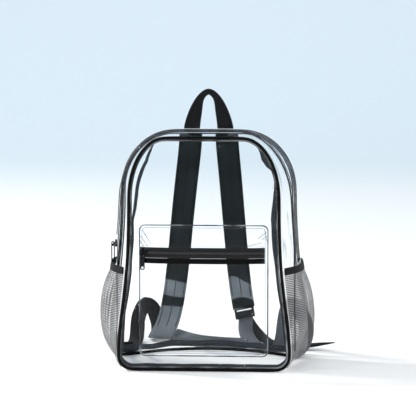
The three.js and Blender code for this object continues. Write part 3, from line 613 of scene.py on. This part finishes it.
def off_the_side(point):
    """The way the main zip faces: sideways, and more and more upwards from where the arch starts."""
    return Vector((point.x, 0, max(point.z - arch_start, 0))).normalized()


teeth("main_zip_teeth", spine("main_zip_coil", 3.4 * mm), off_the_side, 1.5 * mm, "main_zip_coil")


def gloss_black(name, colour, roughness, metallic=0.0):
    """Hard black finish with faint uneven gloss."""
    nodes = Nodes(name)
    coordinates = nodes.add("TexCoord")
    grain = nodes.add("TexNoise", Vector=coordinates.outputs["Object"], Scale=300, Detail=3)
    rough = nodes.add("MapRange", Value=grain.outputs["Fac"], To_Min=roughness * 0.8, To_Max=roughness * 1.3)
    bump = nodes.add("Bump", Strength=0.15, Distance=0.0003, Height=grain.outputs["Fac"])
    shader = nodes.add("BsdfPrincipled", Roughness=rough.outputs["Result"], Normal=bump.outputs["Normal"])
    nodes.feed(shader, "Base Color", (*colour, 1))
    nodes.feed(shader, "Metallic", metallic)
    nodes.feed(shader, "Specular IOR Level", 0.2)
    return nodes.finish(shader)


black_paint = gloss_black("black_paint", (0.004, 0.004, 0.005), 0.2, 0.2)
black_plastic = gloss_black("black_plastic", (0.02, 0.022, 0.025), 0.38)


def hard(node, material, body="bag", edge=0.0004):
    """A hard CAD piece with its edges eased."""
    shape = merged_copy(node)
    bmesh.ops.dissolve_limit(shape, angle_limit=0.03, verts=shape.verts[:], edges=shape.edges[:])
    bmesh.ops.recalc_face_normals(shape, faces=shape.faces[:])
    name = node + "_finished"
    piece = join_piece(mesh_from(shape, name), name, material)
    ease = piece.modifiers.new("ease", "BEVEL")
    ease.width = edge
    ease.segments = 2
    ease.limit_method = "ANGLE"
    ease.angle_limit = math.radians(50)
    return dress(piece, body, node)


hard("main_zip_slider", black_paint)
hard("main_zip_pull", black_paint, "main_pull")

# Front pocket. A clear panel is sewn on with grey thread along a folded hem, and a black zip
# runs across it under a clear top strip. A glossy strip of vinyl covers the zip's lower edge.
film_pocket = film_material("film_pocket", (0.99, 0.994, 0.997), (0.6, 0.65, 0.7), wave=1.8, shine=2.0)
rounded("pocket_panel", film_pocket, 2, "pocket_film")
rounded("pocket_top_strip", film_pocket, 2, "pocket_top_film")
rounded("pocket_zip_tape", zip_tape, 2, "pocket_zip_tape_woven")
rounded("pocket_zip_lip", piping_vinyl, 2, "pocket_zip_lip_vinyl")
teeth("pocket_zip_teeth", spine("pocket_zip_coil", 3.4 * mm), lambda p: Vector((0, -1, 0)), 1.5 * mm,
      "pocket_zip_coil")
hard("pocket_zip_slider", black_paint)
hard("pocket_zip_pull", black_paint, "pocket_pull")

pocket_shape = bmesh.new()
for node in ("pocket_panel", "pocket_top_strip", "pocket_zip_tape", "pocket_zip_lip"):
    pocket_shape.from_mesh(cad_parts[node].data)
pocket_tree = BVHTree.FromBMesh(pocket_shape)
pocket_shape.free()
pocket_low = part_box("pocket_panel")[0]
pocket_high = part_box("pocket_top_strip")[1]
forward = Vector((0, -1, 0))
well_in_front = -0.3


def on_pocket(x, z, stand):
    """A point on the pocket's face, a little in front of it."""
    hit = pocket_tree.ray_cast(Vector((x, well_in_front, z)), -forward)[0]
    y = hit.y if hit else front_y - 0.5 * mm
    return Vector((x, y - stand, z))


def round_box(inset):
    """The pocket's rounded outline, moved inwards, as evenly numbered points (x, z)."""
    wide = pocket_high[0] - inset
    low, high = pocket_low[2] + inset, pocket_high[2] - inset
    corner = max(9 * mm - inset * 0.7, 2 * mm)
    points = []
    for quarter in range(4):
        first = -90 + 90 * quarter
        cx = (wide - corner) * (1 if quarter in (0, 1) else -1)
        cz = (low + corner) if quarter in (0, 3) else (high - corner)
        for k in range(9):
            turn = math.radians(first + 90 * k / 8)
            points.append((cx + corner * math.cos(turn), cz + corner * math.sin(turn)))
        ends = ((wide, high - corner), (corner - wide, high), (-wide, low + corner), (wide - corner, low))
        a = points[-1]
        b = ends[quarter]
        points += [(a[0] + (b[0] - a[0]) * k / 24, a[1] + (b[1] - a[1]) * k / 24) for k in range(1, 24)]
    return points


def pocket_band(name, near, far, material, stand, thickness, rim=None):
    """A band of film round the pocket, from near to far inside its outline."""
    outer, inner = round_box(near), round_box(far)

    def where(s, t):
        i = round(s * len(outer)) % len(outer)
        x = outer[i][0] + (inner[i][0] - outer[i][0]) * t
        z = outer[i][1] + (inner[i][1] - outer[i][1]) * t
        return on_pocket(x, z, stand)

    piece = join_piece(mesh_from(mapped_sheet(len(outer), 1, where, True), name), name, material)
    thicken(piece, thickness, rim)
    return dress(piece)


# The hem's cut edge and the fold round the pocket's outline are dark grey painted shade (film_edge).
pocket_band("pocket_hem", -0.4 * mm, 8.5 * mm, film_pocket, 1.0 * mm, 0.7 * mm, film_edge)
pocket_band("pocket_edge_fold", -0.8 * mm, 0.9 * mm, film_edge, 1.1 * mm, 0.9 * mm)

nodes = Nodes("grey_thread")
coordinates = nodes.add("TexCoord")
twist = nodes.add("TexNoise", Vector=coordinates.outputs["Object"], Scale=900, Detail=1)
thread_tint = ramp(nodes, twist.outputs["Fac"], [(0.3, grey(0.02)), (0.7, grey(0.06))])
grey_thread = nodes.finish(nodes.add("BsdfPrincipled", Base_Color=thread_tint, Roughness=0.6))
path = [on_pocket(x, z, 1.6 * mm) for x, z in round_box(4.2 * mm)]
spots = [(point, along, forward) for point, along in spaced(path + path[:1], 4.2 * mm)]
beads("pocket_hem_stitches", spots, (1.6 * mm, 0.6 * mm, 0.4 * mm), grey_thread)
zip_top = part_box("pocket_zip_tape")[1][2]
row_reach = 0.099
path = [on_pocket(-row_reach + 2 * row_reach * i / 60, zip_top + 2.2 * mm, 0.9 * mm) for i in range(61)]
spots = [(point, along, forward) for point, along in spaced(path, 3.6 * mm)]
beads("zip_top_stitches", spots, (1.2 * mm, 0.4 * mm, 0.3 * mm), grey_thread)

# Each fold runs from one point (x, z) of the pocket's face to another, in millimetres
corner_folds = [((-100, 233), (-85, 209)), ((-97, 229), (-88, 214)), ((-102, 222), (-91, 206)),
                ((-103, 214), (-97, 205)), ((88, 219), (102, 230)), ((94, 217), (103, 224)),
                ((70, 207), (94, 212)), ((99, 233), (103, 212)), ((-103, 60), (-101, 30)),
                ((-97, 29), (-80, 27.5)), ((97, 30), (103, 40)), ((84, 28), (98, 31))]
# The creases are drawn as dark grey ribs of painted shade.
spots = []
for (x0, z0), (x1, z1) in corner_folds:
    crease = []
    for k in range(9):
        x = x0 + (x1 - x0) * k / 8
        z = z0 + (z1 - z0) * k / 8
        crease.append(on_pocket(x * mm, z * mm, 1.2 * mm))
    spots += [(point, along, forward) for point, along in spaced(crease, 2.2 * mm)]
beads("pocket_corner_folds", spots, (1.8 * mm, 0.55 * mm, 0.4 * mm), film_edge)

# Side pockets. Black open mesh is gathered at the foot and edged at the mouth with ribbed
# elastic. Through its holes the mesh looks grey.
nodes = Nodes("pocket_mesh")
coordinates = nodes.add("TexCoord")
split = nodes.add("SeparateXYZ", Vector=coordinates.outputs["Object"])
knit = 1100
rising = nodes.math("ADD", split.outputs["Y"], split.outputs["Z"])
falling = nodes.math("SUBTRACT", split.outputs["Y"], split.outputs["Z"])
first = nodes.math("SINE", nodes.math("MULTIPLY", rising, knit))
second = nodes.math("SINE", nodes.math("MULTIPLY", falling, knit))
weft = nodes.math("MULTIPLY", first, second)
patch = nodes.add("TexNoise", Vector=coordinates.outputs["Object"], Scale=30, Detail=1)
level = nodes.math("MULTIPLY_ADD", patch.outputs["Fac"], 0.5, weft)
holes = nodes.add("MapRange", {"interpolation_type": "SMOOTHSTEP"}, Value=level.outputs[0],
                  From_Min=-0.1, From_Max=0.2)
thread = nodes.add("BsdfPrincipled", Roughness=0.6)
nodes.feed(thread, "Base Color", (0.03, 0.031, 0.033, 1))
open_air = nodes.add("BsdfTransparent")
nodes.feed(open_air, "Color", (1, 1, 1, 1))
both = nodes.add("MixShader", Fac=holes.outputs["Result"])
nodes.feed(both, "1", thread)
nodes.feed(both, "2", open_air)
pocket_mesh = nodes.finish(both)
elastic = woven("elastic", (0.004, 0.004, 0.005), 0.0016, roughness=0.75, depth=0.001)
for side in ("left", "right"):
    net = rounded("mesh_pocket_" + side, pocket_mesh, 2, "pocket_net_" + side)
    rounded("pocket_elastic_" + side, elastic, 2, "pocket_band_" + side)

# Handle. One length of black webbing stands up in a loop from the back seam and is folded
# double at the grip.
webbing = woven("webbing", (0.006, 0.0065, 0.008), 0.0016, roughness=0.8, depth=0.0007)
rounded("handle", webbing, 2, "handle_webbing", keep=0.6)

# Shoulder straps. Dark woven straps with a line of stitching down the middle hang from the top
# seam to ladder locks behind the bag. Their lower ends carry pale bands of painted reflection.
nodes = Nodes("strap_cloth")
coordinates = nodes.add("TexCoord")
split = nodes.add("SeparateXYZ", Vector=coordinates.outputs["Object"])
rib = nodes.add("TexWave", {"wave_type": "BANDS", "bands_direction": "Z"},
                Vector=coordinates.outputs["Object"], Scale=260, Distortion=0.5)
warp = nodes.add("TexNoise", Vector=coordinates.outputs["Object"], Scale=17, Detail=0.5)
# Pale bands at set heights low on the straps are painted reflection: the film's gloss over the dark cloth,
# painted into its colour.
level = nodes.math("MULTIPLY_ADD", warp.outputs["Fac"], 0.06, split.outputs["Z"])
painted_reflection_height = nodes.add("MapRange", Value=level.outputs[0], From_Min=0.03, From_Max=0.23)
painted_reflection_grey = (0.165, 0.19, 0.21)
dark = (0.0085, 0.0135, 0.0155)
painted_reflection_patches = ramp(nodes, painted_reflection_height.outputs["Result"], [(0, painted_reflection_grey), (0.30, painted_reflection_grey), (0.31, dark), (0.385, dark),
                                                (0.395, painted_reflection_grey), (0.56, painted_reflection_grey), (0.57, dark), (1, dark)])
mottle = nodes.add("TexNoise", Vector=coordinates.outputs["Object"], Scale=24, Detail=3)
shade = ramp(nodes, mottle.outputs["Fac"], [(0.3, grey(0.75)), (0.7, grey(1.25))])
cloth_tint = nodes.add("MixRGB", {"blend_type": "MULTIPLY"}, Fac=1, Color1=painted_reflection_patches, Color2=shade)
bump = nodes.add("Bump", Strength=0.5, Distance=0.0005, Height=rib.outputs["Fac"])
shader = nodes.add("BsdfPrincipled", Base_Color=cloth_tint, Roughness=0.75, Normal=bump.outputs["Normal"])
nodes.feed(shader, "Specular IOR Level", 0.06)
strap_cloth = nodes.finish(shader)
black_thread = woven("black_thread", (0.002, 0.002, 0.002), 0.001, gleam=0.1)
# Grey webbing for the lower right webbing and the left free end. The webbing is black like the handle's, and
# its grey is painted reflection of the film in front of it.
grey_painted_reflection_webbing = woven("grey_painted_reflection_webbing", (0.11, 0.125, 0.14), 0.0016, roughness=0.8, depth=0.0007)


just_behind_the_bag = 0.0708
behind_everything = 0.5
edge_row = 15.5


def strap_stitches(side, facing):
    """Stitches down the middle and both edges of a shoulder strap, on its front or its rear."""
    shape = merged_copy("shoulder_strap_" + side)
    tree = BVHTree.FromBMesh(shape)
    shape.free()
    start_y = just_behind_the_bag if facing > 0 else behind_everything
    low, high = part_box("shoulder_strap_" + side)
    away = Vector((0, facing, 0))

    def touch(x, z):
        return tree.ray_cast(Vector((x, start_y, z)), away)[0]

    lines = {-edge_row: [], 0: [], edge_row: []}
    z = high[2] - 6 * mm
    while z > max(low[2] + 22 * mm, 30 * mm):
        across = [low[0] + k * mm for k in range(int((high[0] - low[0]) / mm) + 1)]
        hits = [x for x in across if touch(x, z)]
        middle = (hits[0] + hits[-1]) / 2
        for offset, line in lines.items():
            spot = touch(middle + offset * mm, z)
            if spot:
                line.append(spot - away * 0.1 * mm)
        z -= 5 * mm
    spots = []
    for line in lines.values():
        spots += [(point, along, -away) for point, along in spaced(line, 4.4 * mm)]
    name = "strap_stitches_%s_%s" % (side, "front" if facing > 0 else "rear")
    return beads(name, spots, (2.1 * mm, 1.0 * mm, 0.45 * mm), black_thread)


for side in ("left", "right"):
    padding = rounded("shoulder_strap_" + side, strap_cloth, 2,
                      "shoulder_strap_cloth_" + side)
    for facing in (1, -1):
        strap_stitches(side, facing)
    hard("adjuster_" + side, black_plastic, edge=0.0008)
rounded("lower_webbing_left", webbing, 1, "lower_webbing_woven_left")
rounded("lower_webbing_right", grey_painted_reflection_webbing, 1, "lower_webbing_woven_right")
rounded("strap_tail_left", grey_painted_reflection_webbing, 1, "strap_tail_woven_left")


slant_start = 0.120
slant_length = 0.090
tip_y = 0.163
tip_height = 0.0125


def cut_slanting(point):
    """Draws the last stretch of the right free end in to a slanting tip."""
    share = min(max((point.x - slant_start) / slant_length, 0), 1) ** 1.5
    line = Vector((point.x, tip_y, tip_height))
    return (line - point) * (0.9 * share)


rounded("strap_tail_right", webbing, 1, "strap_tail_woven_right", move=cut_slanting)
